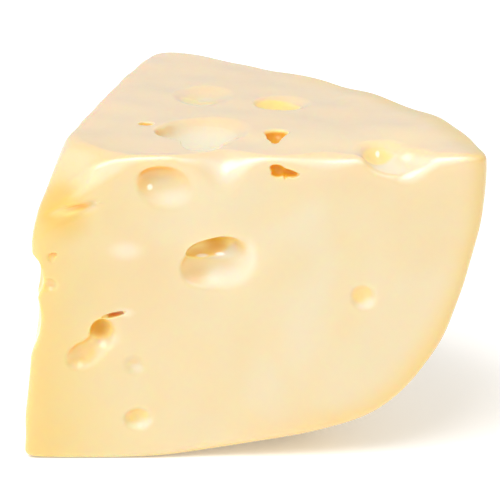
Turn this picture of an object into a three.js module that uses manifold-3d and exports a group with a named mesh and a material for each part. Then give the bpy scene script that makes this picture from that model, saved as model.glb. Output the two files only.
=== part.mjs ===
// A hand-cut wedge of a domed, large-eyed wheel cheese. Millimetres, +Z up.
//
// The wedge is one solid. Two flat cuts meet at its point, a level cut trims the top, and the
// wheel's own rim and base close it behind and below. Gas eyes that the cuts opened are hollows
// in the three cut faces. It rests on a flat strip of its base, under its weight.
//
// While it is shaped, X runs along the front cut from the point to the rim, Y runs back into the
// wedge and Z runs up from the table. The finished wedge is moved so that the origin lies under
// the middle of its box.

import * as THREE from 'three';
import { mergeVertices } from 'three/addons/utils/BufferGeometryUtils.js';
import Module from 'manifold-3d';

// ---- Driving dimensions ------------------------------------------------------------------

const HEIGHT = 97;                        // from the table to the level top
const POINT_ANGLE = 76.9;                 // degrees between the two cuts, seen from above
const POINT_TOP_X = -6.5;                 // the point's edge at the top ...
const POINT_FOOT_X = -13.6;               // ... and at the table: the left cut leans outwards
const WHEEL_AXIS = [-41.3, -27.1];        // the wheel's middle: the cuts missed it by a little
const WHEEL_RADIUS = 173;                 // at the belly of the rim
const BELLY_HEIGHT = 88;                  // the widest level of the rim
const RIM_CURVE = 184;                    // below the belly the rim draws in by drop^2 / RIM_CURVE
const RIM_FOOT_HEIGHT = 17;               // where the drawn-in rim meets the base

const KEEL_SLOPE_ACROSS = 0.40;           // the base rises this steeply to both cuts ...
const KEEL_ROUND = 8;                     // ... from a round keel along the wedge's middle
const KEEL_SUNK = 0.9;                    // the keel is pressed flat by this much at the point
const KEEL_SLOPE_ALONG = 0.05;            // and by more towards the rim

const ROUND_CUTS = 3.5;                   // rounding where the two cuts meet
const ROUND_TOP = 2.2;                    // rounding along the top's edges
const ROUND_FOOT = 14;                    // rounding between rim and base
const ROUND_RIM_LOW = 2.5;                // rounding between a cut and the rind, at the table ...
const ROUND_RIM_HIGH = 7;                 // ... and at the top
const ROUND_FLAT = 1;                     // rounding at the edge of the resting strip

const MELT_EXTRA = 36;                    // extra rounding at the soft top of the point ...
const MELT_REACH = 17;                    // ... which fades out over this distance
const WORN_EDGE = [                       // worn stretches of the top's front edge: where along the
  { at: 49, extra: 11, reach: 7.5 },      // front cut, how much more rounding, and how far it reaches
  { at: 80, extra: 4, reach: 8 },
  { at: 112, extra: 3, reach: 8 },
];
const WORN_DEPTH = 14;                    // the wear fades out this far back from the front cut
const BULGES = [                          // low bell-shaped bulges of the soft skin, and one dent:
  { at: [14, 90, 97], radii: [20, 38, 25], rise: 0.6 },    // where, how far they reach, how high
  { at: [34, 128, 97], radii: [28, 26, 14], rise: 0.5 },
  { at: [117, 34, 97], radii: [16, 26, 13], rise: 1 },
  { at: [124, 0, 66], radii: [20, 40, 15], rise: -1 },
  { at: [-6, 6, 80.5], radii: [8, 12, 5], rise: 0.7 },
  { at: [-13, 0, 13], radii: [9, 12, 6], rise: 0.5 },
];
const LOBE_SWELL = 2.6;                   // the soft lobe that sags out below that corner
const LOBE_HEIGHT = 73;
const LOBE_HALF_HEIGHT = 9;
const LOBE_DEPTH = 14;

const STEPS_SIDE = 28;                    // steps along each of the three sides of the outline
const STEPS_TOP = 6;                      // rings from the middle of the top to its edge
const STEPS_WALL = 13;                    // rings from the top edge down to the base
const STEPS_BASE = 7;                     // rings from the base's edge to its middle

const HEART = [52, 40, 50];               // a point deep inside, from which the skin is found

// Eyes. `face` is the cut that opened the eye. `at` is its place on that face: along the front
// cut and up; on the left cut, negative from the point's edge and up; on the top, X and Y.
// `sink` is how deep its middle lies under the face, `radii` run along, up and into the face,
// `turn` spins it in the face and `tilt` leans it, in degrees. `fine` is its steps from pole to
// pole.
const EYES = [
  // front cut: the large middle eye, a dish with a pocket under its upper left lip
  { face: 'front', at: [45.6, 63.6], sink: -0.8, radii: [10.4, 6.8, 4.4], turn: 18, fine: 12 },
  { face: 'front', at: [49.8, 67.0], sink: -0.2, radii: [5.6, 3.6, 3.8], turn: -10, fine: 9 },
  { face: 'front', at: [45.0, 67.7], sink: 1.2, radii: [7.6, 3.4, 4.6], turn: 11, fine: 10 },
  // front cut: the lower left eye, a lobed hollow with a slit above a thin bridge
  { face: 'front', at: [5.2, 34.2], sink: -0.8, radii: [5.2, 3.8, 3.0], turn: 38, fine: 9 },
  { face: 'front', at: [9.4, 37.8], sink: -0.6, radii: [3.2, 2.6, 2.8], turn: 40, fine: 7 },
  { face: 'front', at: [11.4, 41.5], sink: 0.2, radii: [3.3, 3.9, 3.4], turn: -10, fine: 9 },
  { face: 'front', at: [15.6, 46.9], sink: 0.6, radii: [3.9, 0.75, 2.6], turn: 13, fine: 7 },
  // front cut: the eye under the top edge
  { face: 'front', at: [30.4, 88.3], sink: -0.8, radii: [7.4, 5.3, 3.8], turn: -6, tilt: -14, fine: 10 },
  { face: 'front', at: [29.4, 90.4], sink: -0.4, radii: [5.6, 2.6, 3.4], turn: -2, fine: 8 },
  // front cut: small pits
  { face: 'front', at: [91.1, 53.1], sink: -0.7, radii: [3.4, 3.3, 2.3], fine: 7 },
  { face: 'front', at: [22.0, 13.7], sink: -0.8, radii: [3.9, 3.0, 2.4], turn: 10, fine: 7 },
  { face: 'front', at: [21.4, 31.0], sink: -1.6, radii: [3.0, 2.4, 2.1], fine: 7 },
  { face: 'front', at: [-3.0, 65.9], sink: -0.5, radii: [1.5, 0.9, 1.7], turn: 18, fine: 5 },
  { face: 'front', at: [-3.2, 64.9], sink: -0.6, radii: [0.8, 1.1, 1.3], fine: 5 },
  { face: 'front', at: [-4.4, 57.0], sink: -0.6, radii: [2.2, 1.6, 1.6], turn: -15, fine: 5 },
  // front cut: the crease in the soft corner
  { face: 'front', at: [-0.4, 78.9], sink: -0.5, radii: [10.6, 1.4, 2.2], turn: 18, tilt: 12, fine: 8 },
  // the point's edge: two eyes that both cuts opened
  { face: 'front', at: [-9.9, 58.9], sink: 3.0, radii: [4.3, 7.1, 7.5], fine: 9 },
  { face: 'front', at: [-23.6, 46.4], sink: 3.0, radii: [16.9, 16.9, 10.0], fine: 12 },
  // top: the large eye with its steep left side and its notch towards the front
  { face: 'top', at: [41.0, 30.6], sink: 0.0, radii: [11.2, 11.6, 5.6], fine: 12 },
  { face: 'top', at: [34.2, 26.6], sink: 0.6, radii: [5.4, 8.4, 4.8], turn: 34, fine: 9 },
  { face: 'top', at: [42.2, 17.4], sink: 0.2, radii: [6.2, 10.4, 4.6], turn: -2, fine: 9 },
  { face: 'top', at: [24.6, 38.0], sink: 0.0, radii: [2.2, 1.9, 1.9], fine: 6 },
  // top: two shallow dishes further back
  { face: 'top', at: [41.0, 71.0], sink: -1.6, radii: [8.2, 9.6, 3.0], fine: 9 },
  { face: 'top', at: [66.0, 63.0], sink: -1.2, radii: [8.2, 8.6, 3.8], fine: 9 },
  // top and front: one eye that opens through both, with a bridge of cheese between
  { face: 'top', at: [65.1, 28.4], sink: 0.4, radii: [3.4, 3.4, 3.4], fine: 7 },
  { face: 'top', at: [64.9, 24.0], sink: 0.4, radii: [2.6, 4.2, 3.0], turn: -12, fine: 7 },
  { face: 'top', at: [64.7, 19.4], sink: 0.4, radii: [1.4, 4.4, 2.4], fine: 6 },
  { face: 'front', at: [65.2, 93.2], sink: 0.0, radii: [2.3, 1.3, 2.4], turn: -12, fine: 6 },
  { face: 'front', at: [65.4, 91.9], sink: 0.0, radii: [2.1, 1.3, 2.2], fine: 6 },
  { face: 'front', at: [68.0, 92.0], sink: 0.0, radii: [3.2, 1.2, 2.2], turn: -14, fine: 6 },
  { face: 'front', at: [70.2, 91.6], sink: -0.2, radii: [1.7, 0.7, 1.6], turn: -12, fine: 5 },
  { face: 'front', at: [67.6, 90.9], sink: 0.0, radii: [0.5, 0.9, 1.2], fine: 5 },
  // top and front: the scoop across the edge
  { face: 'top', at: [96.2, 6.8], sink: -1.1, radii: [5.6, 9.2, 4.8], fine: 9 },
  { face: 'top', at: [100.8, 1.0], sink: -0.2, radii: [8.2, 6.4, 5.6], fine: 9 },
  // left cut
  { face: 'left', at: [-40, 64], sink: 0.6, radii: [9.6, 7.4, 5.4], turn: 15, fine: 11 },
  { face: 'left', at: [-36, 68], sink: 1.4, radii: [5.6, 4.2, 5.2], fine: 8 },
  { face: 'left', at: [-76, 38], sink: 0.4, radii: [7.6, 6.2, 5.0], turn: -25, fine: 9 },
  { face: 'left', at: [-101, 70], sink: 0.2, radii: [5.4, 4.4, 3.6], fine: 8 },
  { face: 'left', at: [-62, 86], sink: 0.2, radii: [4.6, 3.6, 3.4], fine: 8 },
  { face: 'left', at: [-24, 28], sink: -0.2, radii: [4.6, 3.8, 2.8], turn: 30, fine: 8 },
  { face: 'left', at: [-92, 47], sink: -0.2, radii: [3.0, 2.8, 1.9], fine: 7 },
  { face: 'left', at: [-57, 20], sink: -0.3, radii: [3.8, 3.0, 2.0], fine: 7 },
];

// ---- The skin before the eyes are cut ------------------------------------------------------

const radians = THREE.MathUtils.degToRad;
const cutAngle = radians(POINT_ANGLE);
const alongLeft = new THREE.Vector3(Math.cos(cutAngle), Math.sin(cutAngle), 0);
const pointTop = new THREE.Vector3(POINT_TOP_X, 0, HEIGHT);
const upLeft = new THREE.Vector3(POINT_TOP_X - POINT_FOOT_X, 0, HEIGHT).normalize();
const outLeft = new THREE.Vector3().crossVectors(upLeft, alongLeft).normalize();

// The larger of two distances, blended smoothly where they come within `round` of each other.
function smoothMax(a, b, round) {
  const overlap = Math.max(round - Math.abs(a - b), 0);
  return Math.max(a, b) + overlap * overlap / (4 * round);
}

// The rim's radius at a height: it draws in below the belly like a parabola.
function rimRadius(z) {
  return WHEEL_RADIUS - (BELLY_HEIGHT - z) ** 2 / RIM_CURVE;
}

// The base's height before it is pressed flat: a round keel along the wedge's middle line.
function baseHeight(x, y) {
  const across = x * Math.sin(cutAngle / 2) - y * Math.cos(cutAngle / 2);
  const along = x * Math.cos(cutAngle / 2) + y * Math.sin(cutAngle / 2);
  const rise = Math.hypot(KEEL_ROUND, KEEL_SLOPE_ACROSS * across) - KEEL_ROUND;
  return rise - KEEL_SUNK - KEEL_SLOPE_ALONG * along;
}

// How far the skin bulges at a place.
function bulgeAt(p) {
  return BULGES.reduce((sum, { at, radii, rise }) => {
    const [x, y, z] = [p.x - at[0], p.y - at[1], p.z - at[2]];
    return sum + rise * Math.exp(-((x / radii[0]) ** 2) - (y / radii[1]) ** 2 - (z / radii[2]) ** 2);
  }, 0);
}

// Signed distance to the skin, negative inside: all faces, joined by their roundings.
function skinDistance(p) {
  const toPoint = p.distanceTo(pointTop);
  const melt = MELT_EXTRA * Math.exp(-((toPoint / MELT_REACH) ** 2));
  const lobe = Math.exp(-(((p.z - LOBE_HEIGHT) / LOBE_HALF_HEIGHT) ** 2) - (p.y / LOBE_DEPTH) ** 2);
  const left = outLeft.dot(p) - outLeft.dot(pointTop) - LOBE_SWELL * lobe;
  const cuts = smoothMax(-p.y, left, ROUND_CUTS + melt);
  const rimSlope = 2 * (BELLY_HEIGHT - p.z) / RIM_CURVE;
  const fromAxis = Math.hypot(p.x - WHEEL_AXIS[0], p.y - WHEEL_AXIS[1]);
  const rim = (fromAxis - rimRadius(p.z)) / Math.hypot(1, rimSlope);
  const rind = smoothMax(rim, baseHeight(p.x, p.y) - p.z, ROUND_FOOT);
  const level = THREE.MathUtils.clamp(p.z / HEIGHT, 0, 1);
  const wall = smoothMax(cuts, rind, THREE.MathUtils.lerp(ROUND_RIM_LOW, ROUND_RIM_HIGH, level));
  const wear = WORN_EDGE.reduce((sum, w) => sum + w.extra * Math.exp(-(((p.x - w.at) / w.reach) ** 2)), 0);
  const worn = wear * Math.exp(-((p.y / WORN_DEPTH) ** 2));
  const body = smoothMax(wall, p.z - HEIGHT, ROUND_TOP + melt + worn);
  return smoothMax(body - bulgeAt(p), -p.z, ROUND_FLAT);
}

// The point of the skin that lies beyond `target`, seen from the heart.
function skinPoint(target) {
  const heart = new THREE.Vector3(...HEART);
  const ray = target.clone().sub(heart).normalize();
  let inside = 0;
  let outside = 2 * HEIGHT;
  const p = new THREE.Vector3();
  for (let step = 0; step < 40; step += 1) {
    const middle = (inside + outside) / 2;
    p.copy(heart).addScaledVector(ray, middle);
    if (skinDistance(p) > 0) outside = middle;
    else inside = middle;
  }
  return p;
}

// 0 to 1 in `steps`, closer together at both ends, where the edges are rounded.
function eased(steps) {
  return Array.from({ length: steps + 1 }, (_, i) => (1 - Math.cos(Math.PI * i / steps)) / 2);
}

// 0 to 1 in `steps`, closer together towards 1, without the two ends.
function easedOut(steps) {
  return Array.from({ length: steps - 1 }, (_, i) => Math.sin(Math.PI / 2 * (i + 1) / steps));
}

// The wedge seen from above, sharp-cornered: along the front cut, round the rim, back along the
// left cut. `radius` is the rim's and `pointX` is where the point's edge stands at that level.
function outline(radius, pointX) {
  const [axisX, axisY] = WHEEL_AXIS;
  const point = new THREE.Vector2(pointX, 0);
  const frontEnd = new THREE.Vector2(axisX + Math.sqrt(radius ** 2 - axisY ** 2), 0);
  const gap = new THREE.Vector2(pointX - axisX, -axisY);
  const alongGap = gap.x * alongLeft.x + gap.y * alongLeft.y;
  const reach = Math.sqrt(alongGap ** 2 - gap.lengthSq() + radius ** 2) - alongGap;
  const leftEnd = new THREE.Vector2(pointX + reach * alongLeft.x, reach * alongLeft.y);
  const start = Math.atan2(frontEnd.y - axisY, frontEnd.x - axisX);
  const end = Math.atan2(leftEnd.y - axisY, leftEnd.x - axisX);
  const steps = eased(STEPS_SIDE).slice(0, -1);
  const front = steps.map((t) => point.clone().lerp(frontEnd, t));
  const rim = steps.map((t) => {
    const angle = THREE.MathUtils.lerp(start, end, t);
    return new THREE.Vector2(axisX + radius * Math.cos(angle), axisY + radius * Math.sin(angle));
  });
  const left = steps.map((t) => leftEnd.clone().lerp(point, t));
  return [...front, ...rim, ...left];
}

// Rings of points from the middle of the top, over the walls, to the middle of the base.
function skinRings() {
  const middle = new THREE.Vector2(HEART[0], HEART[1]);
  const top = outline(WHEEL_RADIUS, POINT_TOP_X);
  const foot = outline(rimRadius(RIM_FOOT_HEIGHT), POINT_FOOT_X);
  const groundHeight = (q) => Math.max(baseHeight(q.x, q.y), 0);
  const onTop = easedOut(STEPS_TOP).map((s) => top.map((q) => {
    const p = middle.clone().lerp(q, s);
    return new THREE.Vector3(p.x, p.y, HEIGHT);
  }));
  const onWall = eased(STEPS_WALL).reverse().map((w) => top.map((q, i) => {
    const p = foot[i].clone().lerp(q, w);
    return new THREE.Vector3(p.x, p.y, THREE.MathUtils.lerp(groundHeight(foot[i]), HEIGHT, w));
  }));
  const onBase = easedOut(STEPS_BASE).reverse().map((s) => foot.map((q) => {
    const p = middle.clone().lerp(q, s);
    return new THREE.Vector3(p.x, p.y, groundHeight(p));
  }));
  return [...onTop, ...onWall, ...onBase].map((ring) => ring.map(skinPoint));
}

// The closed skin: the rings joined by triangles, with one vertex at each pole.
function skinGeometry() {
  const rings = skinRings();
  const around = rings[0].length;
  const positions = rings.flat().flatMap((p) => p.toArray());
  const topPole = rings.length * around;
  const basePole = topPole + 1;
  positions.push(...skinPoint(new THREE.Vector3(HEART[0], HEART[1], HEIGHT)).toArray());
  positions.push(...skinPoint(new THREE.Vector3(HEART[0], HEART[1], 0)).toArray());
  const triangles = [];
  for (let i = 0; i < around; i += 1) {
    const next = (i + 1) % around;
    triangles.push(topPole, i, next);
    for (let r = 0; r < rings.length - 1; r += 1) {
      const here = r * around;
      const below = here + around;
      triangles.push(here + i, below + i, below + next, here + i, below + next, here + next);
    }
    const last = (rings.length - 1) * around;
    triangles.push(basePole, last + next, last + i);
  }
  const geometry = new THREE.BufferGeometry();
  geometry.setAttribute('position', new THREE.Float32BufferAttribute(positions, 3));
  geometry.setIndex(triangles);
  return geometry;
}

// ---- The eyes ------------------------------------------------------------------------------

// Each cut face as a frame: X along the face, Y up it and Z out of the cheese.
const xAxis = new THREE.Vector3(1, 0, 0);
const yAxis = new THREE.Vector3(0, 1, 0);
const zAxis = new THREE.Vector3(0, 0, 1);
const leftFoot = new THREE.Vector3(POINT_FOOT_X, 0, 0);
const FACES = {
  front: new THREE.Matrix4().makeBasis(xAxis, zAxis, yAxis.clone().negate()),
  top: new THREE.Matrix4().makeBasis(xAxis, yAxis, zAxis).setPosition(0, 0, HEIGHT),
  left: new THREE.Matrix4()
    .makeBasis(new THREE.Vector3().crossVectors(upLeft, outLeft), upLeft, outLeft)
    .setPosition(leftFoot),
};

// One eye: a stretched ball, leaned, turned and set into its face.
function eyeGeometry({ face, at, sink, radii, turn = 0, tilt = 0, fine }) {
  const geometry = new THREE.SphereGeometry(1, 2 * fine, fine);
  geometry.scale(...radii);
  geometry.rotateX(radians(tilt));
  geometry.rotateZ(radians(turn));
  geometry.translate(at[0], at[1], -sink);
  geometry.applyMatrix4(FACES[face]);
  return geometry;
}

// ---- Cutting -------------------------------------------------------------------------------

const wasm = await Module();
wasm.setup();

// A closed geometry as a solid that can be joined and cut.
function toSolid(geometry) {
  const bare = geometry.clone();
  bare.deleteAttribute('normal');
  bare.deleteAttribute('uv');
  const merged = mergeVertices(bare, 1e-4);
  return new wasm.Manifold(new wasm.Mesh({
    numProp: 3,
    vertProperties: new Float32Array(merged.attributes.position.array),
    triVerts: new Uint32Array(merged.index.array),
  }));
}

// A solid back as a geometry.
function toGeometry(solid) {
  const mesh = solid.getMesh();
  const geometry = new THREE.BufferGeometry();
  geometry.setAttribute('position', new THREE.Float32BufferAttribute(mesh.vertProperties, 3));
  geometry.setIndex(new THREE.BufferAttribute(mesh.triVerts, 1));
  geometry.computeVertexNormals();
  return geometry;
}

const skin = toSolid(skinGeometry());
const cut = EYES.reduce((solid, eye) => solid.subtract(toSolid(eyeGeometry(eye))), skin);

// ---- The model -----------------------------------------------------------------------------

const wedgeGeometry = toGeometry(cut);
wedgeGeometry.computeBoundingBox();
const middle = wedgeGeometry.boundingBox.getCenter(new THREE.Vector3());

const paste = new THREE.MeshStandardMaterial({ color: 0xf8e3b4, roughness: 0.42, metalness: 0 });
const wedge = new THREE.Mesh(wedgeGeometry, paste);
wedge.name = 'wedge';
wedge.position.set(-middle.x, -middle.y, -wedgeGeometry.boundingBox.min.z);

const cheese = new THREE.Group();
cheese.add(wedge);

export default cheese;
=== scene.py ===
import math

import bpy
import numpy as np
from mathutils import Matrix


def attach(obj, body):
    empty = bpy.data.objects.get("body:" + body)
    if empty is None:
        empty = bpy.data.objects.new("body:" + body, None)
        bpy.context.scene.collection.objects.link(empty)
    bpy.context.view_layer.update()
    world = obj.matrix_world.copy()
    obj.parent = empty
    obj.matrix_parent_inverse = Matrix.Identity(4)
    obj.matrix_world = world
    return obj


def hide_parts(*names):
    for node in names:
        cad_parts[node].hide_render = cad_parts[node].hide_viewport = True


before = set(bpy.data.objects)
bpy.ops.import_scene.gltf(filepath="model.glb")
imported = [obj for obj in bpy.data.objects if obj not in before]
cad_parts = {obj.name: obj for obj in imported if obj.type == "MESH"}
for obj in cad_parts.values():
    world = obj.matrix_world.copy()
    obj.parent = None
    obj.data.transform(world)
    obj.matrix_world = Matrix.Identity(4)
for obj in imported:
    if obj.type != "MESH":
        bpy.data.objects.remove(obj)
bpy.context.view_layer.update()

# ---- The uncut wedge ---------------------------------------------------------------------------
# A sector sawn by hand out of a domed wheel of semi-hard cheese. Two straight cuts meet at the
# point, a level cut takes the wheel's upper half off, and the wheel's own rind closes the wedge
# behind and below. Millimetres, with X along the front cut from the point to the rim.

HEIGHT = 97.0
POINT_ANGLE = math.radians(76.9)
POINT_TOP = np.array([-6.5, 0.0, HEIGHT])
POINT_FOOT = np.array([-13.6, 0.0, 0.0])
WHEEL_AXIS = np.array([-41.3, -27.1])
WHEEL_RADIUS = 173.0
BELLY_HEIGHT = 88.0
RIM_CURVE = 184.0
RIM_FOOT_HEIGHT = 17.0
HEART = np.array([52.0, 40.0, 50.0])

ALONG_LEFT = np.array([math.cos(POINT_ANGLE), math.sin(POINT_ANGLE), 0.0])
UP_LEFT = (POINT_TOP - POINT_FOOT) / np.linalg.norm(POINT_TOP - POINT_FOOT)
OUT_LEFT = np.cross(UP_LEFT, ALONG_LEFT) / np.linalg.norm(np.cross(UP_LEFT, ALONG_LEFT))


def rounded_max(a, b, reach):
    """The larger distance, plus (reach - gap)^2 / (4 reach) where the gap is under the reach."""
    overlap = np.maximum(reach - np.abs(a - b), 0.0)
    return np.maximum(a, b) + overlap**2 / (4.0 * reach)


KEEL_ROUND = 8.0
KEEL_RISE = 0.40
KEEL_PRESSED = 0.9
KEEL_FALL = 0.05


def base_height(x, y):
    """A hyperbola across the wedge's middle line, falling evenly along it: the pressed keel."""
    across = x * math.sin(POINT_ANGLE / 2) - y * math.cos(POINT_ANGLE / 2)
    along = x * math.cos(POINT_ANGLE / 2) + y * math.sin(POINT_ANGLE / 2)
    return np.hypot(KEEL_ROUND, KEEL_RISE * across) - KEEL_ROUND - KEEL_PRESSED - KEEL_FALL * along


def rim_radius(z):
    """A parabola: the belly's radius less the drop below the belly, squared, over the curve."""
    return WHEEL_RADIUS - (BELLY_HEIGHT - z) ** 2 / RIM_CURVE


ROUND_RIM_FOOT = 14.0


def rind_distance(p):
    """The rim's radial distance over its slope, joined with the height under the domed base."""
    x, y, z = p.T
    radial = np.hypot(x - WHEEL_AXIS[0], y - WHEEL_AXIS[1]) - rim_radius(z)
    rim = radial / np.hypot(1.0, 2.0 * (BELLY_HEIGHT - z) / RIM_CURVE)
    return rounded_max(rim, base_height(x, y) - z, ROUND_RIM_FOOT)


ROUND_POINT = 3.5
ROUND_RIM_LOW = 2.5
ROUND_RIM_HIGH = 7.0
ROUND_TOP = 2.2
ROUND_TABLE = 1.0
# The point's top is melted rounder, and a lobe sags from it down the point's edge.
MELTED = 36.0
MELTED_REACH = 17.0
LOBE_SAG = 2.6
LOBE_HEIGHT = 73.0
LOBE_TALL = 9.0
LOBE_BACK = 14.0
# Along the top's front edge: the worn stretch's middle, its added rounding and its half width.
WORN = [(49.0, 11.0, 7.5), (80.0, 4.0, 8.0), (112.0, 3.0, 8.0)]
WORN_BACK = 14.0
# Each bulge's place, its reach three ways and its height; a dent's height is below nought.
BULGES = [
    ((14.0, 90.0, 97.0), (20.0, 38.0, 25.0), 0.6), ((34.0, 128.0, 97.0), (28.0, 26.0, 14.0), 0.5),
    ((117.0, 34.0, 97.0), (16.0, 26.0, 13.0), 1.0), ((124.0, 0.0, 66.0), (20.0, 40.0, 15.0), -1.0),
    ((-6.0, 6.0, 80.5), (8.0, 12.0, 5.0), 0.7), ((-13.0, 0.0, 13.0), (9.0, 12.0, 6.0), 0.5),
]


def skin_distance(p):
    """Signed distance to the uncut wedge: cuts, rind, top and table joined by rounded maxima. The
    melted top of the point and the worn stretches of the top's edge add to the rounding, and the
    lobe that sags below the point's top and the bulges are bell-shaped swells."""
    melt = MELTED * np.exp(-(np.linalg.norm(p - POINT_TOP, axis=1) / MELTED_REACH) ** 2)
    above_lobe = (p[:, 2] - LOBE_HEIGHT) / LOBE_TALL
    lobe = LOBE_SAG * np.exp(-(above_lobe**2) - (p[:, 1] / LOBE_BACK) ** 2)
    cuts = rounded_max(-p[:, 1], (p - POINT_TOP) @ OUT_LEFT - lobe, ROUND_POINT + melt)
    climb = np.clip(p[:, 2] / HEIGHT, 0.0, 1.0)
    corner = ROUND_RIM_LOW + (ROUND_RIM_HIGH - ROUND_RIM_LOW) * climb
    wall = rounded_max(cuts, rind_distance(p), corner)
    worn = sum(added * np.exp(-((p[:, 0] - x) / wide) ** 2) for x, added, wide in WORN)
    worn *= np.exp(-((p[:, 1] / WORN_BACK) ** 2))
    bulge = sum(h * np.exp(-(((p - spot) / reach) ** 2).sum(axis=1)) for spot, reach, h in BULGES)
    body = rounded_max(wall, p[:, 2] - HEIGHT, ROUND_TOP + melt + worn) - bulge
    return rounded_max(body, -p[:, 2], ROUND_TABLE)


def outline(radius, point_x, steps):
    """Along the front cut, round the rim and back along the left cut, eased as (1 - cos) / 2."""
    t = (1.0 - np.cos(np.pi * np.arange(steps) / steps)) / 2.0
    point = np.array([point_x, 0.0])
    front_end = np.array([WHEEL_AXIS[0] + math.sqrt(radius**2 - WHEEL_AXIS[1] ** 2), 0.0])
    gap = point - WHEEL_AXIS
    ahead = gap @ ALONG_LEFT[:2]
    left_end = point + (math.sqrt(ahead**2 - gap @ gap + radius**2) - ahead) * ALONG_LEFT[:2]
    start = math.atan2(*(front_end - WHEEL_AXIS)[::-1])
    end = math.atan2(*(left_end - WHEEL_AXIS)[::-1])
    angle = start + (end - start) * t
    rim = WHEEL_AXIS + radius * np.stack([np.cos(angle), np.sin(angle)], axis=1)
    front = point + t[:, None] * (front_end - point)
    left = left_end + t[:, None] * (point - left_end)
    return np.concatenate([front, rim, left])


HALVINGS = 32


def skin_grid(side_steps, top_steps, wall_steps, base_steps):
    """Rows from the middle of the top to the middle of the base: each point slides along its ray
    from the heart, deep inside, by halving, to where the distance to the skin is nought."""
    middle = HEART[:2]
    top = outline(WHEEL_RADIUS, POINT_TOP[0], side_steps)
    foot = outline(rim_radius(RIM_FOOT_HEIGHT), POINT_FOOT[0], side_steps)
    ground = np.maximum(base_height(foot[:, 0], foot[:, 1]), 0.0)
    s = np.sin(np.pi / 2 * np.arange(0, top_steps) / top_steps)[:, None, None]
    w = (1.0 + np.cos(np.pi * np.arange(wall_steps + 1) / wall_steps)) / 2.0
    b = np.sin(np.pi / 2 * np.arange(base_steps - 1, -1, -1) / base_steps)[:, None, None]
    on_top = middle + s * (top - middle)
    on_wall = foot + w[:, None, None] * (top - foot)
    on_base = middle + b * (foot - middle)
    plan = np.concatenate([on_top, on_wall, on_base])
    heights = np.concatenate([
        np.full(on_top.shape[:2], HEIGHT),
        ground + w[:, None] * (HEIGHT - ground),
        np.maximum(base_height(on_base[..., 0], on_base[..., 1]), 0.0),
    ])
    target = np.dstack([plan, heights[..., None]])
    rays = target.reshape(-1, 3) - HEART
    rays /= np.linalg.norm(rays, axis=1)[:, None]
    inside = np.zeros(len(rays))
    outside = np.full(len(rays), 2.0 * HEIGHT)
    for _ in range(HALVINGS):
        half = (inside + outside) / 2.0
        beyond = skin_distance(HEART + rays * half[:, None]) > 0.0
        inside = np.where(beyond, inside, half)
        outside = np.where(beyond, half, outside)
    return (HEART + rays * inside[:, None]).reshape(target.shape)


MILLIMETRE = 0.001


def closed_mesh(name, grid):
    """A mesh of a grid whose rows are rings and whose first and last rows are each one pole."""
    rows, around = grid.shape[:2]
    points = np.concatenate([grid[0, :1], grid[1:-1].reshape(-1, 3), grid[-1, :1]])
    ring = 1 + np.arange((rows - 2) * around).reshape(rows - 2, around)
    ahead = np.roll(ring, -1, axis=1)
    quads = np.stack([ring[:-1], ring[1:], ahead[1:], ahead[:-1]], axis=-1).reshape(-1, 4)
    first = np.stack([np.zeros(around, int), ring[0], ahead[0]], axis=1)
    last = np.stack([np.full(around, len(points) - 1), ahead[-1], ring[-1]], axis=1)
    faces = quads.tolist() + first.tolist() + last.tolist()
    mesh = bpy.data.meshes.new(name)
    mesh.from_pydata((points * MILLIMETRE).tolist(), [], faces)
    return mesh


skin = closed_mesh("cheese", skin_grid(side_steps=110, top_steps=24, wall_steps=60, base_steps=26))
wedge = bpy.data.objects.new("cheese", skin)
bpy.context.scene.collection.objects.link(wedge)

# ---- The eyes ----------------------------------------------------------------------------------
# Bubbles that the ripening gas blew in the paste, one or a few run together. The saw opened them,
# and their lips stand sharp on one side, where it tore, and lie slumped and round on the other.

# Each face's origin, and its axes along it, up it and out of it.
FACES = {
    "front": (np.array([0.0, 0.0, 0.0]), np.array([[1, 0, 0], [0, 0, 1], [0, -1, 0]], float)),
    "top": (np.array([0.0, 0.0, HEIGHT]), np.eye(3)),
    "left": (POINT_FOOT, np.array([np.cross(UP_LEFT, OUT_LEFT), UP_LEFT, OUT_LEFT])),
}
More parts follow.
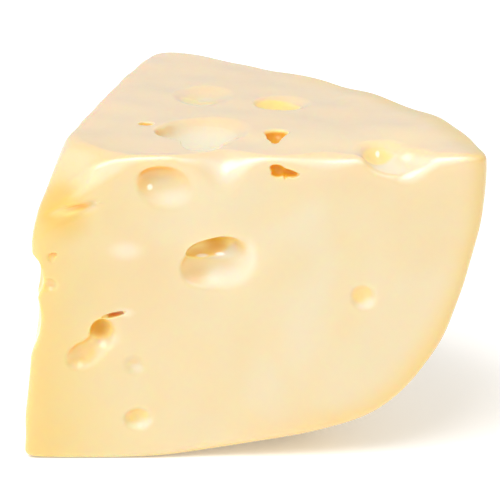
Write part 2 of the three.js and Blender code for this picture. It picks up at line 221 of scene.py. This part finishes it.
# Face; lip where sharp, where soft, and the soft side's direction in the face; how the bubbles
# blend; how strongly the hollow's painted glow shows, yellow to orange standing in for light
# scattered and shaded in it; and each bubble's place, depth of its middle, radii along, up and in,
# turn and tilt.
EYES = [
    # the large middle eye of the front cut: a dish, and a pocket under its upper left lip
    ("front", (0.7, 6.0, -25), 1.6, 0.0, [
        ((45.6, 63.6), -0.8, (10.4, 6.8, 4.4), 18, 0), ((49.8, 67.0), -0.2, (5.6, 3.6, 3.8), -10, 0)]),
    ("front", (0.4, 3.0, -10), 0.5, 0.5, [((45.0, 67.7), 1.2, (7.6, 3.4, 4.6), 11, 0)]),
    # the lower left eye: a lobed hollow, and a slit above a thin bridge
    ("front", (1.0, 4.0, -20), 2.0, 0.2, [
        ((5.2, 34.2), -0.8, (5.2, 3.8, 3.0), 38, 0), ((9.4, 37.8), -0.6, (3.2, 2.6, 2.8), 40, 0)]),
    ("front", (0.5, 5.0, -25), 0.5, 0.6, [((11.4, 41.5), 0.2, (3.3, 3.9, 3.4), -10, 0)]),
    ("front", (0.3, 0.6, -90), 0.3, 0.45, [((15.6, 46.9), 0.6, (3.9, 0.75, 2.6), 13, 0)]),
    # the eye under the top edge
    ("front", (1.2, 5.0, -40), 2.0, 0.1, [
        ((30.4, 88.3), -0.8, (7.4, 5.3, 3.8), -6, -14), ((29.4, 90.4), -0.4, (5.6, 2.6, 3.4), -2, 0)]),
    # small pits of the front cut
    ("front", (0.8, 3.0, -45), 0.5, 0.3, [((91.1, 53.1), -0.7, (3.4, 3.3, 2.3), 0, 0)]),
    ("front", (0.8, 3.0, -45), 0.5, 0.3, [((22.0, 13.7), -0.8, (3.9, 3.0, 2.4), 10, 0)]),
    ("front", (1.5, 2.5, -60), 0.5, 0.0, [((21.4, 31.0), -1.6, (3.0, 2.4, 2.1), 0, 0)]),
    ("front", (0.3, 1.2, -150), 0.5, 0.45, [
        ((-3.0, 65.9), -0.5, (1.5, 0.9, 1.7), 18, 0), ((-3.2, 64.9), -0.6, (0.8, 1.1, 1.3), 0, 0)]),
    ("front", (0.8, 2.4, -60), 0.5, 0.2, [((-4.4, 57.0), -0.6, (2.2, 1.6, 1.6), -15, 0)]),
    # the crease in the soft corner
    ("front", (1.2, 4.5, -70), 1.6, 0.45, [((-0.4, 78.9), -0.5, (10.6, 1.4, 2.2), 18, 12)]),
    # two eyes that both cuts opened, at the point's edge
    ("front", (0.3, 1.2, -80), 0.5, 0.3, [((-9.9, 58.9), 3.0, (4.3, 7.1, 7.5), 0, 0)]),
    ("front", (1.2, 3.0, -60), 0.5, 0.0, [((-23.6, 46.4), 3.0, (16.9, 16.9, 10.0), 0, 0)]),
    # the top's large eye: a dish, its steep left side, and a notch towards the front
    ("top", (0.4, 7.0, 40), 2.0, 0.0, [
        ((41.0, 30.6), 0.0, (11.2, 11.6, 5.6), 0, 0), ((34.2, 26.6), 0.6, (5.4, 8.4, 4.8), 34, 0),
        ((42.2, 17.4), 0.2, (6.2, 10.4, 4.6), -2, 0)]),
    ("top", (0.3, 0.6, 90), 0.3, 1.0, [((24.6, 38.0), 0.0, (2.2, 1.9, 1.9), 0, 0)]),
    # two shallow dishes further back on the top
    ("top", (1.2, 5.0, 60), 0.5, 0.3, [((41.0, 71.0), -1.6, (8.2, 9.6, 3.0), 0, 0)]),
    ("top", (0.5, 4.0, 40), 0.5, 0.55, [((66.0, 63.0), -1.2, (8.2, 8.6, 3.8), 0, 0)]),
    # one eye that opens through the top and the front, with a bridge of cheese between
    ("top", (0.3, 1.6, 90), 2.4, 0.85, [
        ((65.1, 28.4), 0.4, (3.4, 3.4, 3.4), 0, 0), ((64.9, 24.0), 0.4, (2.6, 4.2, 3.0), -12, 0),
        ((64.7, 19.4), 0.4, (1.4, 4.4, 2.4), 0, 0)]),
    ("front", (0.2, 0.5, 90), 0.5, 1.0, [
        ((65.2, 93.2), 0.0, (2.3, 1.3, 2.4), -12, 0), ((65.4, 91.9), 0.0, (2.1, 1.3, 2.2), 0, 0),
        ((68.0, 92.0), 0.0, (3.2, 1.2, 2.2), -14, 0), ((70.2, 91.6), -0.2, (1.7, 0.7, 1.6), -12, 0),
        ((67.6, 90.9), 0.0, (0.5, 0.9, 1.2), 0, 0)]),
    # the scoop across the top's edge
    ("top", (3.2, 5.0, 0), 0.5, 0.4, [((96.2, 6.8), -1.1, (5.6, 9.2, 4.8), 0, 0)]),
    ("top", (2.4, 6.0, 0), 0.5, 0.0, [((100.8, 1.0), -0.2, (8.2, 6.4, 5.6), 0, 0)]),
    # the left cut's own eyes
    ("left", (0.8, 5.0, -60), 0.7, 0.6, [
        ((-40, 64), 0.6, (9.6, 7.4, 5.4), 15, 0), ((-36, 68), 1.4, (5.6, 4.2, 5.2), 0, 0)]),
    ("left", (1.0, 4.0, -60), 0.5, 0.8, [((-76, 38), 0.4, (7.6, 6.2, 5.0), -25, 0)]),
    ("left", (1.0, 3.0, -60), 0.5, 0.7, [((-101, 70), 0.2, (5.4, 4.4, 3.6), 0, 0)]),
    ("left", (1.0, 3.0, -60), 0.5, 0.7, [((-62, 86), 0.2, (4.6, 3.6, 3.4), 0, 0)]),
    ("left", (1.0, 3.0, -60), 0.5, 0.6, [((-24, 28), -0.2, (4.6, 3.8, 2.8), 30, 0)]),
    ("left", (0.8, 2.2, -60), 0.5, 0.5, [((-92, 47), -0.2, (3.0, 2.8, 1.9), 0, 0)]),
    ("left", (0.8, 2.2, -60), 0.5, 0.5, [((-57, 20), -0.3, (3.8, 3.0, 2.0), 0, 0)]),
]


def bubble_axes(face, bubble):
    """A bubble's middle and its three axes: the face's own axes, leaned by tilt, spun by turn."""
    place, sink, _, turn, tilt = bubble
    origin, axes = FACES[face]
    c, s = math.cos(math.radians(turn)), math.sin(math.radians(turn))
    ct, st = math.cos(math.radians(tilt)), math.sin(math.radians(tilt))
    spin = np.array([[c, s, 0], [-s, c, 0], [0, 0, 1.0]])
    lean = np.array([[1, 0, 0], [0, ct, st], [0, -st, ct]])
    return origin + np.array([*place, -sink]) @ axes, lean @ spin @ axes


def bubble_grid(face, bubble, steps):
    """A stretched ball: sine and cosine of two angles, times the radii, in the bubble's axes."""
    middle, axes = bubble_axes(face, bubble)
    rise = np.linspace(np.pi / 2, -np.pi / 2, steps + 1)[:, None]
    turn = np.linspace(0.0, 2.0 * np.pi, 2 * steps, endpoint=False)[None, :]
    ball = [np.cos(rise) * np.cos(turn), np.cos(rise) * np.sin(turn), np.sin(rise) + 0.0 * turn]
    return middle + (np.stack(ball, axis=-1) * bubble[2]) @ axes


def bubble_distance(p, face, bubble):
    """Signed distance to the stretched ball: k0 (k0 - 1) / k1, with k0 the length in radii and k1
    the length in squared radii."""
    middle, axes = bubble_axes(face, bubble)
    local = (p - middle) @ axes.T
    k0 = np.linalg.norm(local / bubble[2], axis=1)
    k1 = np.linalg.norm(local / np.square(bubble[2]), axis=1) + 1e-9
    return k0 * (k0 - 1.0) / k1


def eye_distance(p, eye):
    """The bubbles' distances joined by rounded minima."""
    face, _, blend, _, bubbles = eye
    distance = bubble_distance(p, face, bubbles[0])
    for bubble in bubbles[1:]:
        distance = -rounded_max(-distance, -bubble_distance(p, face, bubble), blend)
    return distance


LIP_POWER = 1.8
LIP_CALM = 1.5


def lip_width(p, eye):
    """Sharp to soft round the eye: half of one plus the cosine from the soft side, to a power. The
    cosine is calmed in the eye's middle, where the side changes quickly."""
    face, (sharp, soft, side), _, _, bubbles = eye
    middle = np.mean([bubble_axes(face, bubble)[0] for bubble in bubbles], axis=0)
    across = (p - middle) @ FACES[face][1].T
    a = math.radians(side)
    lean = across[:, 0] * math.cos(a) + across[:, 1] * math.sin(a)
    lean /= np.hypot(across[:, 0], across[:, 1]) + LIP_CALM
    return sharp + (soft - sharp) * (0.5 + 0.5 * lean) ** LIP_POWER


def set_in_mesh(piece):
    """The piece's mesh with its modifiers worked in, as a new mesh that the piece then carries."""
    worked = piece.evaluated_get(bpy.context.evaluated_depsgraph_get())
    mesh = bpy.data.meshes.new_from_object(worked)
    piece.modifiers.clear()
    piece.data = mesh
    return mesh


BALL_STEPS = 24
EVEN_SIZE = 0.00055

cutters = []
for number, (face, bubble) in enumerate((eye[0], bubble) for eye in EYES for bubble in eye[4]):
    ball = closed_mesh("bubble", bubble_grid(face, bubble, BALL_STEPS))
    cutter = bpy.data.objects.new(f"bubble_{number}", ball)
    bpy.context.scene.collection.objects.link(cutter)
    opened = wedge.modifiers.new(cutter.name, "BOOLEAN")
    opened.operation = "DIFFERENCE"
    opened.solver = "MANIFOLD"
    opened.object = cutter
    cutters.append(cutter)
even = wedge.modifiers.new("even", "REMESH")
even.mode = "VOXEL"
even.voxel_size = EVEN_SIZE
cut_mesh = set_in_mesh(wedge)
for cutter in cutters:
    bpy.data.meshes.remove(cutter.data)

# ---- Lips and relief ---------------------------------------------------------------------------
# Every lip is eased by its own amount, and the whole surface swells and sinks a little, as soft
# cheese does after the saw and under its wrapping. The mesh is laid on that eased surface.

RIDGE = np.array([
    [4.5, 5.5, 88.0], [9.0, 3.6, 92.2], [15.5, 2.4, 95.2], [23.0, 1.4, 96.4], [33.0, 0.7, 96.6],
])
RIDGE_HEIGHT = 0.45
RIDGE_WIDE = 2.0


def ridge(p):
    """A low narrow rib along the soft corner's upper edge: bell-shaped across each stretch."""
    nearest = np.full(len(p), 100.0)
    for start, end in zip(RIDGE[:-1], RIDGE[1:]):
        stretch = end - start
        along = np.clip((p - start) @ stretch / (stretch @ stretch), 0.0, 1.0)
        away = np.linalg.norm(p - start - along[:, None] * stretch, axis=1)
        nearest = np.minimum(nearest, away)
    return RIDGE_HEIGHT * np.exp(-((nearest / RIDGE_WIDE) ** 2))


# Each wave's turns along X, Y and Z in radians for a millimetre, its start and its height.
WAVES = np.array([
    [0.16, 0.05, 0.11, 0.3, 0.16], [0.09, -0.14, 0.17, 1.9, 0.13], [-0.21, 0.11, 0.13, 4.1, 0.10],
    [0.30, 0.21, -0.16, 2.2, 0.06], [0.11, 0.33, 0.29, 5.2, 0.05], [-0.34, 0.16, 0.31, 0.9, 0.04],
])
# Each swell's place, height and reach.
SWELLS = [
    ((19.0, 0.0, 67.0), 0.7, 7.0), ((20.0, 0.0, 74.5), -0.6, 6.0), ((50.0, 1.0, 95.0), 0.4, 8.0),
    ((14.0, 0.0, 55.0), -0.4, 8.0), ((30.0, 0.0, 22.0), 0.3, 12.0), ((9.0, 3.0, 88.0), 0.4, 6.0),
    ((70.0, 0.0, 74.0), 0.3, 12.0), ((74.0, 0.0, 40.0), -0.3, 14.0),
    ((104.0, 0.0, 74.0), -0.3, 11.0), ((3.0, 1.0, 83.0), 0.5, 3.5),
    ((26.8, 2.6, 87.0), 0.8, 1.2), ((96.4, 4.0, 93.4), 0.8, 1.3),
]


def undulation(p):
    """Six crossed sine waves, 13 to 31 mm long, up to a sixth of a millimetre each, less the ridge
    and bell-shaped swells and dents of a given height and reach."""
    rolling = sum(w[4] * np.sin(p @ w[:3] + w[3]) for w in WAVES)
    swell = sum(h * np.exp(-(((p - spot) / r) ** 2).sum(axis=1)) for spot, h, r in SWELLS)
    return rolling - ridge(p) - swell


RESTING_STRIP = 6.0
EYE_MARGIN = 6.0


def cheese_distance(p):
    """The skin with each eye taken from it by a rounded maximum as wide as its lip, plus the
    undulation away from the resting strip."""
    distance = skin_distance(p) + undulation(p) * np.clip(p[:, 2] / RESTING_STRIP, 0.0, 1.0)
    for eye in EYES:
        middles = np.array([bubble_axes(eye[0], bubble)[0] for bubble in eye[4]])
        reach = max(max(bubble[2]) for bubble in eye[4]) + EYE_MARGIN
        low = middles.min(axis=0) - reach
        high = middles.max(axis=0) + reach
        near = np.flatnonzero(((p > low) & (p < high)).all(axis=1))
        if len(near):
            hollow = -eye_distance(p[near], eye)
            distance[near] = rounded_max(distance[near], hollow, lip_width(p[near], eye))
    return distance


TETRA = np.array([[1, 1, 1], [1, -1, -1], [-1, 1, -1], [-1, -1, 1]], float)
PROBE = 0.08
FLATTEST_SLOPE = 0.05
LONGEST_STEP = 0.7


def slope(p):
    """Distance and its gradient, from the four corners of a small tetrahedron round each point."""
    corners = np.stack([cheese_distance(p + PROBE * t) for t in TETRA])
    return corners.mean(axis=0), (corners.T @ TETRA) / (4.0 * PROBE)


def lay_on(p, rounds):
    """Newton steps down the gradient, each of them the distance over the squared slope, and none
    longer than 0.7 mm."""
    for _ in range(rounds):
        distance, gradient = slope(p)
        size = np.maximum((gradient**2).sum(axis=1), FLATTEST_SLOPE)
        move = gradient * (distance / size)[:, None]
        length = np.linalg.norm(move, axis=1)[:, None]
        p = p - move * np.minimum(1.0, LONGEST_STEP / np.maximum(length, 1e-9))
    return p


def mesh_points(mesh):
    """The mesh's points, one to a row, in millimetres."""
    flat = np.empty(3 * len(mesh.vertices))
    mesh.vertices.foreach_get("co", flat)
    return flat.reshape(-1, 3) * 1000.0


MOST_TRIANGLES = 192000

cut_mesh.vertices.foreach_set("co", (lay_on(mesh_points(cut_mesh), rounds=5) * MILLIMETRE).ravel())
triangles = sum(len(face.vertices) - 2 for face in cut_mesh.polygons)
thin = wedge.modifiers.new("thin", "DECIMATE")
thin.ratio = MOST_TRIANGLES / triangles
light_mesh = set_in_mesh(wedge)
edges = np.empty(2 * len(light_mesh.edges), int)
light_mesh.edges.foreach_get("vertices", edges)
starts, ends = edges.reshape(-1, 2).T


def evened(p, rounds):
    """Each point slides in its tangent plane halfway to the middle of its neighbours, and is laid
    back on the surface, so that no triangle stays a sliver."""
    count = np.bincount(edges, minlength=len(p))[:, None]
    for _ in range(rounds):
        total = np.stack([
            np.bincount(starts, p[ends, k], len(p)) + np.bincount(ends, p[starts, k], len(p))
            for k in range(3)
        ], axis=1)
        normal = slope(p)[1]
        normal /= np.linalg.norm(normal, axis=1)[:, None]
        move = total / count - p
        p = lay_on(p + 0.5 * (move - normal * (move * normal).sum(axis=1)[:, None]), rounds=1)
    return p


BOX_MIDDLE = np.array([57.94, 65.72, 0.0])

points = evened(mesh_points(light_mesh), rounds=3)
outward = slope(points)[1]
outward /= np.linalg.norm(outward, axis=1)[:, None]
light_mesh.vertices.foreach_set("co", ((points - BOX_MIDDLE) * MILLIMETRE).ravel())
light_mesh.shade_smooth()
light_mesh.normals_split_custom_set_from_vertices(outward.tolist())

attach(wedge, "root")
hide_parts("wedge")

# ---- The paste and its rind --------------------------------------------------------------------
# Ivory-yellow paste, smooth and a little oily. The yellow to orange that light scattered in hollows
# would give, the shade on walls turned from the lamp, the paler lit lips and floors, and highlights
# and glints are painted into the colour. Near the rind towards the rim it is yellower.

# The side the lamp lights from: the tints that follow it are painted light and painted shade.
LAMP_SIDE = np.array([-0.34, -0.42, 0.84])
BROW_SPOT = np.array([80.0, 18.0, HEIGHT])
SAG_SPOT = np.array([0.0, 3.0, 79.5])
POINT_REACH = 27.0
FRONT_REACH = 10.0
# Painted glints, white spots on the front: place along and up, reach along and up, and how far back
# they lie.
PAINTED_GLINTS = [
    (26.8, 87.0, 1.0, 1.0, 8.0), (95.8, 94.4, 0.7, 0.7, 20.0),
    (42.4, 64.8, 2.1, 0.5, 8.0), (47.9, 65.2, 1.7, 0.5, 8.0),
]
# Local tints of the front: kind, place along and up, reach along and up, and amount. Of the kinds,
# the first two are painted shade in the hollows, orange in the pockets and warm in the dishes, the
# third is painted highlights, and the fourth tints two broad patches warmer.
SHADES = [
    # painted shade, orange, in the deepest pockets and the crease
    ("deep", (46.4, 68.8), (4.4, 2.8), 1.1), ("deep", (10.9, 42.0), (3.2, 3.4), 1.0),
    ("deep", (6.0, 81.4), (4.0, 2.0), 0.5),
    # painted shade, warm pinkish, in the dishes of the eyes
    ("warm_shade", (5.3, 34.2), (4.4, 3.6), 1.3), ("warm_shade", (41.0, 59.4), (5.0, 4.0), 0.65),
    ("warm_shade", (25.0, 89.0), (3.0, 4.0), 0.7), ("warm_shade", (30.0, 92.0), (6.0, 2.0), 0.6),
    # painted highlights: a soft patch, lit lower rims of eyes and pits, and the slit's lit lip
    ("painted_highlight", (19.5, 67.6), (5.5, 3.0), 0.9), ("painted_highlight", (57.2, 66.4), (2.2, 5.0), 0.9),
    ("painted_highlight", (93.3, 50.6), (1.8, 1.8), 0.8), ("painted_highlight", (23.9, 11.4), (1.8, 1.8), 0.8),
    ("painted_highlight", (18.9, 47.6), (3.0, 1.4), 1.0), ("painted_highlight", (22.0, 30.0), (2.0, 1.2), 0.8),
    ("flush", (22.0, 57.0), (17.0, 17.0), 0.9), ("flush", (82.0, 88.0), (22.0, 7.0), 0.6),
]


def bell(offsets, reach):
    """One at the middle, falling off as e to minus the squares of each offset over its reach."""
    return np.exp(-((offsets / reach) ** 2).sum(axis=1))


# How open the air is at three heights over each point; its depth under the uncut skin, counted
# from 1 mm inside the rind; how far it turns from the lamp's side; and its eye's painted glow,
# which is full on the eye's wall and gone 0.75 mm outside it.
room = [np.clip(cheese_distance(points + outward * h) / h, 0.0, 1.0) for h in (1.5, 4.0, 8.0)]
depth = -skin_distance(points) * np.clip(-rind_distance(points) / 2.0 - 0.5, 0.0, 1.0)
# How far each point turns away from the lamp, for painted shade.
turned_from_lamp = 0.5 - 0.5 * outward @ LAMP_SIDE
# Each eye's painted glow: yellow to orange standing in for light scattered and shaded in the hollow.
painted_glow = np.zeros(len(points))
for eye in EYES:
    painted_glow = np.maximum(painted_glow, eye[3] * np.clip(1.2 - 1.6 * eye_distance(points, eye), 0.0, 1.0))


def sunk(full):
    """The depth over the depth at which it counts in full, between nought and one."""
    return np.clip(depth / full, 0.0, 1.0)


# What the tints follow: how closed in a point is, how its hollow's painted glow and painted shade
# show, how level it lies and how squarely it faces the lamp, how near the rind, the rim and the
# point it is, and the marks at set places, among them painted glints, highlights and shade.
front_plan = points[:, [0, 2]]
facts = {
    # how closed in each point is; it brings out a little painted shade in recesses
    "closed": 1.0 - np.mean(room, axis=0),
    # painted glow of the hollows, fading in over the first 1.2 mm of depth
    "painted_glow": painted_glow * sunk(1.2),
    "dull": np.maximum(painted_glow, sunk(2.0) * turned_from_lamp),
    # painted shade: hollow walls that turn away from the lamp, more the deeper they lie
    "painted_shade": sunk(0.9) * turned_from_lamp,
    "level": outward[:, 2],
    # how much a hollow's floor faces up, for painted light on it
    "floor": sunk(2.0) * outward[:, 2],
    # how squarely each point faces the lamp, for painted light on lips and edges
    "faces_lamp": outward @ LAMP_SIDE,
    # painted glints: white spots at set places
    "painted_glint": sum(
        bell(front_plan - [x, z], [wide, tall]) * (points[:, 1] < behind)
        for x, z, wide, tall, behind in PAINTED_GLINTS
    ),
    "brow": bell(points - BROW_SPOT, [40.0, 14.0, 6.0]),
    "under_rind": -rind_distance(points),
    # painted shade round the crease under the soft corner
    "crease_shade": bell(points - SAG_SPOT, [9.0, 12.0, 10.0]),
    "rimward": points[:, 0] * 0.01,
    "point": np.exp(-np.linalg.norm((points - POINT_FOOT)[:, :2], axis=1) / POINT_REACH),
}
for name in ("deep", "warm_shade", "painted_highlight", "flush"):
    shades = [shade[1:] for shade in SHADES if shade[0] == name]
    facts[name] = np.exp(-((points[:, 1] / FRONT_REACH) ** 2)) * sum(
        amount * bell(front_plan - spot, reach) for spot, reach, amount in shades
    )
# The painted shade of the first two kinds keeps to the hollows.
for name in ("deep", "warm_shade"):
    facts[name] *= sunk(0.8)
for name, values in facts.items():
    light_mesh.attributes.new(name, "FLOAT", "POINT").data.foreach_set("value", values)

cheese = bpy.data.materials.new("cheese")
cheese.use_nodes = True
nodes = cheese.node_tree.nodes
join = cheese.node_tree.links.new
shader = nodes["Principled BSDF"]
place = nodes.new("ShaderNodeTexCoord")


def attribute(name):
    """The value that the mesh keeps under this name."""
    node = nodes.new("ShaderNodeAttribute")
    node.attribute_name = name
    return node.outputs["Fac"]


def noise(scale, detail, rough=0.5, warp=0.0):
    """Cloudy grey fixed to the cheese's own axes: layers of soft noise, each twice as fine."""
    node = nodes.new("ShaderNodeTexNoise")
    join(place.outputs["Object"], node.inputs["Vector"])
    node.inputs["Scale"].default_value = scale
    node.inputs["Detail"].default_value = detail
    node.inputs["Roughness"].default_value = rough
    node.inputs["Distortion"].default_value = warp
    return node.outputs["Fac"]


def ramp(value, low, high, to_low=0.0, to_high=1.0):
    """Smooth step of a value between two limits."""
    node = nodes.new("ShaderNodeMapRange")
    node.interpolation_type = "SMOOTHSTEP"
    join(value, node.inputs["Value"])
    node.inputs["From Min"].default_value = low
    node.inputs["From Max"].default_value = high
    node.inputs["To Min"].default_value = to_low
    node.inputs["To Max"].default_value = to_high
    return node.outputs["Result"]


def both(a, b):
    """One share times another."""
    node = nodes.new("ShaderNodeMath")
    node.operation = "MULTIPLY"
    join(a, node.inputs[0])
    join(b, node.inputs[1])
    return node.outputs["Value"]


def mixed(amount, a, b):
    """Colour a turning into colour b by an amount."""
    node = nodes.new("ShaderNodeMix")
    node.data_type = "RGBA"
    join(amount, node.inputs["Factor"])
    for value, socket in ((a, node.inputs[6]), (b, node.inputs[7])):
        if isinstance(value, tuple):
            socket.default_value = (*value, 1.0)
        else:
            join(value, socket)
    return node.outputs[2]


PASTE = (0.73, 0.607, 0.362)
PASTE_WARM = (0.74, 0.592, 0.328)
PASTE_PALE = (0.73, 0.627, 0.415)
TOP = (0.83, 0.63, 0.38)
BROW = (0.885, 0.685, 0.38)
POINT = (0.73, 0.54, 0.165)
UNDER_RIND = (0.70, 0.52, 0.15)
# Painted shade, yellow-orange, round the crease under the soft corner.
PAINTED_CREASE_SHADE = (0.71, 0.47, 0.09)
RIND = (0.74, 0.55, 0.235)
FLUSH = (0.735, 0.565, 0.315)
# Painted light: paler colour on lips and edges that face the lamp, and on painted highlight spots.
PAINTED_LIGHT = (0.82, 0.73, 0.56)
# Painted light on hollow floors that face up.
PAINTED_LIT_FLOOR = (0.80, 0.73, 0.54)
# Painted glint: near-white.
GLINT_WHITE = (0.97, 0.95, 0.90)
# Painted glow: the yellow of light scattered in the hollows where the glow is weak.
PAINTED_GLOW_YELLOW = (0.90, 0.69, 0.25)
# Painted orange of light scattered and shaded deep in the hollows and pockets.
PAINTED_HOLLOW_ORANGE = (0.77, 0.36, 0.006)
# Painted shade on hollow walls turned away from the lamp.
PAINTED_SHADE_TINT = (0.83, 0.60, 0.265)
# Painted warm shade in the dishes of the eyes.
PAINTED_WARM_SHADE = (0.80, 0.54, 0.21)
# Painted deeper shade, orange, under the lips and in closed-in recesses.
PAINTED_DEEP_SHADE = (0.83, 0.40, 0.03)

# Each tint over the ones before it: colour, most of it that shows, and the facts that bring it
# out, each with the value where it begins and the value where it is full.
TINTS = [
    (TOP, 0.8, [("level", 0.6, 0.95)]),
    # painted light: lips and rounded edges that face the lamp, but not the level top, are paler
    (PAINTED_LIGHT, 0.85, [("faces_lamp", 0.47, 0.78), ("level", 0.9, 0.6)]),
    (BROW, 0.9, [("brow", 0.1, 0.9)]),
    (FLUSH, 0.8, [("flush", 0.1, 0.9)]),
    (POINT, 0.85, [("point", 0.1, 0.8)]),
    # painted shade round the crease
    (PAINTED_CREASE_SHADE, 0.8, [("crease_shade", 0.15, 0.9)]),
    (UNDER_RIND, 0.75, [("under_rind", 10.0, 0.6), ("rimward", 0.5, 1.1)]),
    (RIND, 1.0, [("under_rind", 1.3, 0.6)]),
    # painted light: hollow floors that face up are paler
    (PAINTED_LIT_FLOOR, 0.9, [("floor", 0.7, 0.95)]),
    # painted shade: hollow walls turned away from the lamp
    (PAINTED_SHADE_TINT, 0.9, [("painted_shade", 0.08, 0.42)]),
    # painted warm shade in the dishes of the eyes
    (PAINTED_WARM_SHADE, 0.9, [("warm_shade", 0.1, 0.9)]),
    # painted glow in the hollows: yellow where it is weak, orange where it is strong
    (PAINTED_GLOW_YELLOW, 1.0, [("painted_glow", 0.0, 0.5)]),
    (PAINTED_HOLLOW_ORANGE, 0.97, [("painted_glow", 0.5, 0.9)]),
    # painted deeper shade under the lips, and a little in closed-in recesses
    (PAINTED_DEEP_SHADE, 0.8, [("painted_shade", 0.45, 0.8)]),
    (PAINTED_DEEP_SHADE, 0.3, [("closed", 0.3, 0.75)]),
    # painted shade, orange, in the deepest pockets
    (PAINTED_HOLLOW_ORANGE, 0.95, [("deep", 0.15, 0.9)]),
    # painted highlights at set places on the front
    (PAINTED_LIGHT, 0.6, [("painted_highlight", 0.1, 0.9)]),
    # painted glints
    (GLINT_WHITE, 0.8, [("painted_glint", 0.25, 0.8)]),
]
colour = mixed(ramp(noise(38.0, 3.0), 0.35, 0.65), PASTE, PASTE_WARM)
colour = mixed(ramp(noise(21.0, 2.0, warp=0.6), 0.45, 0.75), colour, PASTE_PALE)
for tint, most, causes in TINTS:
    fact, begins, full = causes[0]
    share = ramp(attribute(fact), begins, full, 0.0, most)
    for fact, begins, full in causes[1:]:
        share = both(share, ramp(attribute(fact), begins, full))
    colour = mixed(share, colour, tint)
join(colour, shader.inputs["Base Color"])

join(ramp(noise(140.0, 4.0), 0.3, 0.7, 0.30, 0.38), shader.inputs["Roughness"])
grain = nodes.new("ShaderNodeBump")
grain.inputs["Strength"].default_value = 0.15
grain.inputs["Distance"].default_value = 0.0003
join(noise(420.0, 3.0, 0.6), grain.inputs["Height"])
join(grain.outputs["Normal"], shader.inputs["Normal"])
shader.inputs["IOR"].default_value = 1.46
shader.inputs["Subsurface Weight"].default_value = 0.85
shader.inputs["Subsurface Radius"].default_value = (1.0, 0.42, 0.12)
shader.inputs["Subsurface Scale"].default_value = 0.008
join(ramp(attribute("dull"), 0.15, 0.45, 0.9, 0.0), shader.inputs["Coat Weight"])
shader.inputs["Coat Roughness"].default_value = 0.14
light_mesh.materials.clear()
light_mesh.materials.append(cheese)

# ---- Floor, camera and light -------------------------------------------------------------------
# A plain pale matt floor that glows a little, a camera just under a metre away that looks down
# 17.5 degrees, and one broad soft lamp from the upper left front under an even white sky.

bpy.ops.mesh.primitive_plane_add(size=8.0, location=(0.0, 0.0, -0.0001))
floor = bpy.context.object
floor.name = "floor"
floor_paint = bpy.data.materials.new("floor")
floor_paint.use_nodes = True
matt = floor_paint.node_tree.nodes["Principled BSDF"]
matt.inputs["Base Color"].default_value = (0.97, 0.97, 0.97, 1.0)
matt.inputs["Roughness"].default_value = 0.9
matt.inputs["Emission Color"].default_value = (1.0, 1.0, 1.0, 1.0)
matt.inputs["Emission Strength"].default_value = 0.2
floor.data.materials.append(floor_paint)

camera = bpy.data.objects.new("camera", bpy.data.cameras.new("camera"))
camera.data.lens = 216.0
camera.data.sensor_width = 36.0
camera.data.clip_start = 0.05
camera.data.clip_end = 20.0
camera.location = (-0.00094, -0.93245, 0.34103)
camera.rotation_euler = (math.radians(72.5), 0.0, 0.0)
bpy.context.scene.collection.objects.link(camera)
bpy.context.scene.camera = camera

LAMP_SPOT = np.array([-0.95, -1.15, 2.35])
LAMP_AIM = np.array([0.0, 0.0, 0.05])

back = LAMP_SPOT - LAMP_AIM
lamp = bpy.data.objects.new("key", bpy.data.lights.new("key", "AREA"))
lamp.data.shape = "RECTANGLE"
lamp.data.size = 2.4
lamp.data.size_y = 1.6
lamp.data.energy = 58.0
lamp.location = LAMP_SPOT
lean = math.atan2(math.hypot(back[0], back[1]), back[2])
lamp.rotation_euler = (lean, 0.0, math.atan2(back[0], -back[1]))
bpy.context.scene.collection.objects.link(lamp)

world = bpy.data.worlds.new("studio")
world.use_nodes = True
world.node_tree.nodes["Background"].inputs["Color"].default_value = (1.0, 1.0, 1.0, 1.0)
world.node_tree.nodes["Background"].inputs["Strength"].default_value = 0.67
bpy.context.scene.world = world
bpy.context.scene.view_settings.view_transform = "Standard"
